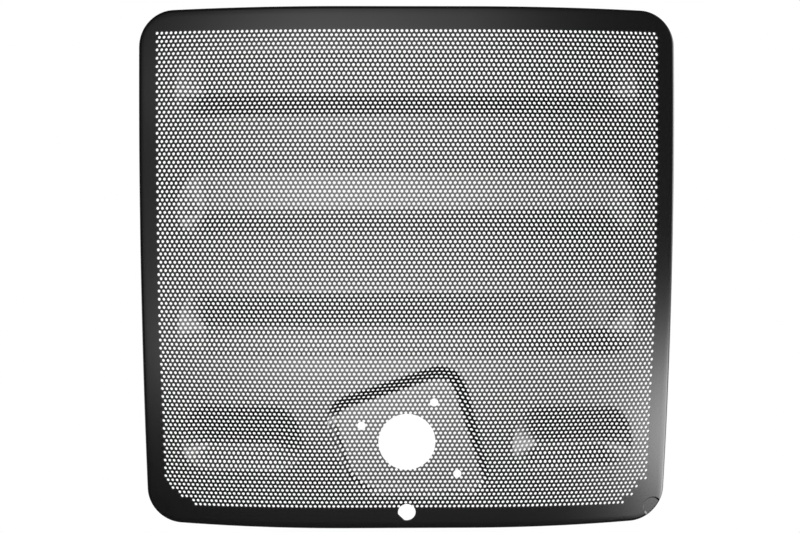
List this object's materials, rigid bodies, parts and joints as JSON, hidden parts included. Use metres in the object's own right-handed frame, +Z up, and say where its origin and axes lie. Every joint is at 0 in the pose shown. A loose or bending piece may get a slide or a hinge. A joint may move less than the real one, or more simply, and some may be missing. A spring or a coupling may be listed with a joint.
{
  "type": "radiator grille",
  "caption": "Perforated sheet-steel radiator grille, slightly crowned, with pressed horizontal grooves, a sunk badge seat, a D-shaped lock hole and a turned-back edge.",
  "frame": {"origin": "centre of the lock hole, on the sheet's front face, near the bottom edge", "axes": "+X to the right as seen from the front, +Z up, and the front faces -Y"},
  "size_m": [0.563, 0.0347, 0.553],
  "materials": {
    "black_coated_steel": "satin"
  },
  "bodies": {
    "root": {"grille_panel": "black_coated_steel"}
  },
  "joints": []
}
